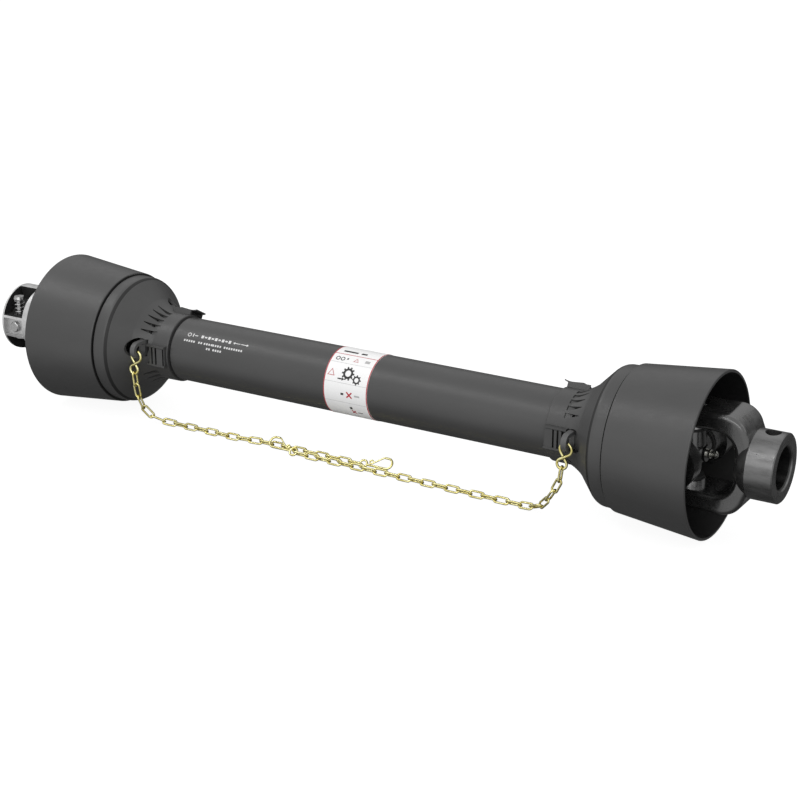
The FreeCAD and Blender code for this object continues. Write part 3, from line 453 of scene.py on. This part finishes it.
def tube_print():
    """Plain white dashes, a ring and a double arrow in three rows on the tube."""
    top, second, third = (round_tube(degrees, TUBE_R) for degrees in TUBE_ROWS)
    row = outline_of(polygon(-174.0, top, 2.1, 16), 0.7)
    row += rectangle(-169.5, top, 1.2, 3.2) + rectangle(-166.0, top, 3.2, 0.9)
    for i in range(9):
        row += rectangle(-159.0 + 3.9 * i, top, 2.6, 1.5 if i % 2 else 3.0)
    row += arrow(-115.0, top, -106.5, top, 0.7, 1.3) + arrow(-116.0, top, -124.0, top, 0.7, 1.3)
    for start, count in ((-177.0, 5), (-160.5, 2), (-154.0, 4), (-144.0, 4), (-131.0, 8)):
        for i in range(count):
            row += rectangle(start + 2.7 * i, second, 1.7, 1.9)
    for i in range(2):
        row += rectangle(-150.0 + 2.7 * i, third, 1.7, 1.9)
    for i in range(4):
        row += rectangle(-142.5 + 2.7 * i, third, 1.7, 1.9)
    printed("tube_print", row, TUBE_R, "ink_white", "guard_right")


# ---------------------------------------------------------------- floor, light and camera
def floor():
    bm = bmesh.new()
    corners = ((-1, -1), (1, -1), (1, 1), (-1, 1))
    bm.faces.new([bm.verts.new((x * FLOOR_HALF, y * FLOOR_HALF, FLOOR_Z - FLOOR_GAP)) for x, y in corners])
    mesh = bpy.data.meshes.new("floor")
    bm.to_mesh(mesh)
    bm.free()
    piece = bpy.data.objects.new("floor", mesh)
    bpy.context.scene.collection.objects.link(piece)
    made, nodes, links, shader = material("pale_floor")
    tone = noise(nodes, links, coordinates(nodes, links), 3.0)
    links.new(tinted(nodes, links, tone, grey(0.20), grey(0.21)), shader.inputs["Base Color"])
    shader.inputs["Roughness"].default_value = 0.9
    shader.inputs["Specular IOR Level"].default_value = 0.0
    shader.inputs["Emission Color"].default_value = (1.0, 1.0, 1.0, 1.0)
    shader.inputs["Emission Strength"].default_value = FLOOR_GLOW
    piece.visible_diffuse = False
    piece.visible_glossy = False
    mesh.materials.append(made)


def soft_light(name, at, size, power):
    light = bpy.data.lights.new(name, "AREA")
    light.shape = "RECTANGLE"
    light.size, light.size_y = size
    light.energy = power
    lamp = bpy.data.objects.new(name, light)
    lamp.location = at
    lamp.rotation_euler = (Vector(LOOK_AT) - Vector(at)).to_track_quat("-Z", "Y").to_euler()
    bpy.context.scene.collection.objects.link(lamp)


def studio_dome():
    """White light round a middle high in front, fading out below and behind."""
    world = bpy.data.worlds.new("studio")
    world.use_nodes = True
    nodes, links = world.node_tree.nodes, world.node_tree.links
    place = nodes.new("ShaderNodeTexCoord")
    towards_key = nodes.new("ShaderNodeVectorMath")
    towards_key.operation = "DOT_PRODUCT"
    towards_key.inputs[1].default_value = KEY_DIRECTION
    links.new(place.outputs["Generated"], towards_key.inputs[0])
    light = spread(nodes, links, towards_key.outputs["Value"], *DOME_LIGHT, *DOME_EDGE)
    links.new(light, nodes["Background"].inputs["Strength"])
    nodes["Background"].inputs["Color"].default_value = (1.0, 1.0, 1.0, 1.0)
    bpy.context.scene.world = world


def lights():
    soft_light("key_strip", **KEY_STRIP)
    soft_light("front_strip", **FRONT_STRIP)
    studio_dome()
    bpy.context.scene.view_settings.view_transform = "Standard"


def camera():
    azimuth, elevation = math.radians(CAMERA_AZIMUTH), math.radians(CAMERA_ELEVATION)
    forward = Vector((-math.sin(azimuth) * math.cos(elevation), math.cos(azimuth) * math.cos(elevation),
                      -math.sin(elevation)))
    right = Vector((math.cos(azimuth), math.sin(azimuth), 0.0))
    up = right.cross(forward)
    made = bpy.data.cameras.new("camera")
    made.lens = CAMERA_LENS
    made.sensor_width = SENSOR
    eye = bpy.data.objects.new("camera", made)
    turn = Matrix((right, up, -forward)).transposed()
    eye.matrix_world = Matrix.Translation(CAMERA_AT) @ turn.to_4x4()
    bpy.context.scene.collection.objects.link(eye)
    bpy.context.scene.camera = eye


camera()
lights()
floor()
dress_frame()
second_finish("bored_yoke", "machined_steel", turned_part)
second_finish("bored_yoke", "bore_steel", in_bore)
# painted shade deep in the quick-release pockets
second_finish("quick_release_yoke", "painted_pocket_shade", deep_in_pocket)
# painted shade between the latch ribs, in the cone grooves and inside the bells
for hand in ("left", "right"):
    second_finish(hand + "_guard_latches", "painted_recess_shade", between_ribs)
    second_finish(hand + "_guard_cone", "painted_recess_shade", in_groove)
    second_finish(hand + "_guard_bell", "painted_recess_shade", inside_bell)
label_print()
tube_print()
